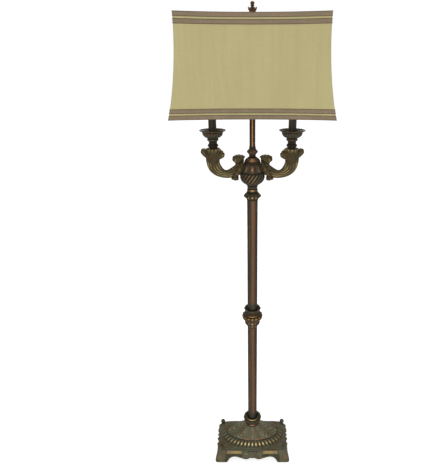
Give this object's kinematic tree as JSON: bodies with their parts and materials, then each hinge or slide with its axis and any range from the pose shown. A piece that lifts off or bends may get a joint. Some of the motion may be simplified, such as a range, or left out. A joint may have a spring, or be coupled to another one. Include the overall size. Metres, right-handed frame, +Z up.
{
  "type": "floor lamp",
  "caption": "Tall column floor lamp: cast footed base, turned pole, urn with candle arms, rectangular bell shade turning on its stem, unscrewing finial.",
  "frame": {"origin": "on the floor at the middle of the base, under the pole", "axes": "+Z up along the pole, +X along the two arms, -Y towards the front"},
  "size_m": [0.4576, 0.2526, 1.676],
  "materials": {
    "cast_bronze_base": "antique bronze paint, rubbed gold on the ridges",
    "cast_bronze": "antique bronze paint with green in the hollows",
    "arm_bronze": "antique bronze paint with gold on the ridges",
    "rubbed_copper": "antique bronze paint, rubbed copper",
    "pole_bronze": "satin dark bronze with copper streaks",
    "candle_sleeve": "satin dark green-grey",
    "finial_copper": "rubbed copper with teal in the hollows",
    "shade_linen": "plain sand linen, matte",
    "shade_braid": "brown braid, matte",
    "shade_wire": "white enamel",
    "iron": "raw casting",
    "steel": "zinc plated",
    "brass": "plain turned",
    "rubber": "matte",
    "phenolic": "moulded, satin",
    "bulb_glass": "frosted"
  },
  "bodies": {
    "stand": {"base_casting": "cast_bronze_base", "base_weight": "iron", "foot_pad_front_left": "rubber", "foot_pad_front_right": "rubber", "foot_pad_back_left": "rubber", "foot_pad_back_right": "rubber", "cord_bushing": "rubber", "rod_washer": "steel", "rod_nut": "steel", "tie_rod": "steel", "base_ring": "rubbed_copper", "pole_cup": "cast_bronze", "lower_pole": "pole_bronze", "coupling_lower_cup": "cast_bronze", "coupling_ball": "rubbed_copper", "coupling_upper_cup": "cast_bronze", "upper_pole": "pole_bronze", "beaded_collar": "cast_bronze", "urn_neck_ring": "rubbed_copper", "urn_lower": "cast_bronze", "urn_upper": "cast_bronze", "urn_cap": "rubbed_copper", "stem_knob": "cast_bronze", "centre_stem": "pole_bronze", "stem_seat": "brass", "arm_left": "arm_bronze", "arm_right": "arm_bronze", "arm_calyx_left": "arm_bronze", "arm_calyx_right": "arm_bronze", "arm_crown_left": "arm_bronze", "arm_crown_right": "arm_bronze", "candle_cup_left": "cast_bronze", "candle_cup_right": "cast_bronze", "candle_sleeve_left": "candle_sleeve", "candle_sleeve_right": "candle_sleeve", "socket_left": "phenolic", "socket_right": "phenolic", "bulb_cap_left": "brass", "bulb_cap_right": "brass", "bulb_glass_left": "bulb_glass", "bulb_glass_right": "bulb_glass"},
    "shade": {"shade_fabric": "shade_linen", "band_top_outer": "shade_braid", "band_top_inner": "shade_braid", "band_bottom_inner": "shade_braid", "band_bottom_outer": "shade_braid", "shade_wire_top": "shade_wire", "shade_wire_bottom": "shade_wire", "spider": "shade_wire"},
    "finial_thread": {"finial_insert": "brass"},
    "finial_knob": {"finial": "finial_copper"},
    "key_left": {"socket_key_left": "phenolic"},
    "key_right": {"socket_key_right": "phenolic"}
  },
  "joints": [
    {"name": "shade_swivel", "type": "hinge", "parent": "stand", "child": "shade", "pos_m": [0, 0, 1.6], "axis": [0, 0, 1], "range_deg": [-35, 35]},
    {"name": "finial_lift", "type": "slide", "parent": "stand", "child": "finial_thread", "axis": [0, 0, 1], "range_m": [0, 0.0076]},
    {"name": "finial_turn", "type": "hinge", "parent": "finial_thread", "child": "finial_knob", "pos_m": [0, 0, 1.64], "axis": [0, 0, 1], "range_deg": [0, 2880]},
    {"name": "key_left_turn", "type": "hinge", "parent": "stand", "child": "key_left", "pos_m": [-0.1214, -0.02, 1.4379], "axis": [0, -1, 0], "continuous": true},
    {"name": "key_right_turn", "type": "hinge", "parent": "stand", "child": "key_right", "pos_m": [0.1214, -0.02, 1.4379], "axis": [0, -1, 0], "continuous": true}
  ],
  "couplings": [
    {"joint": "finial_lift", "follows": "finial_turn", "m_per_rad": 0.00014972}
  ]
}
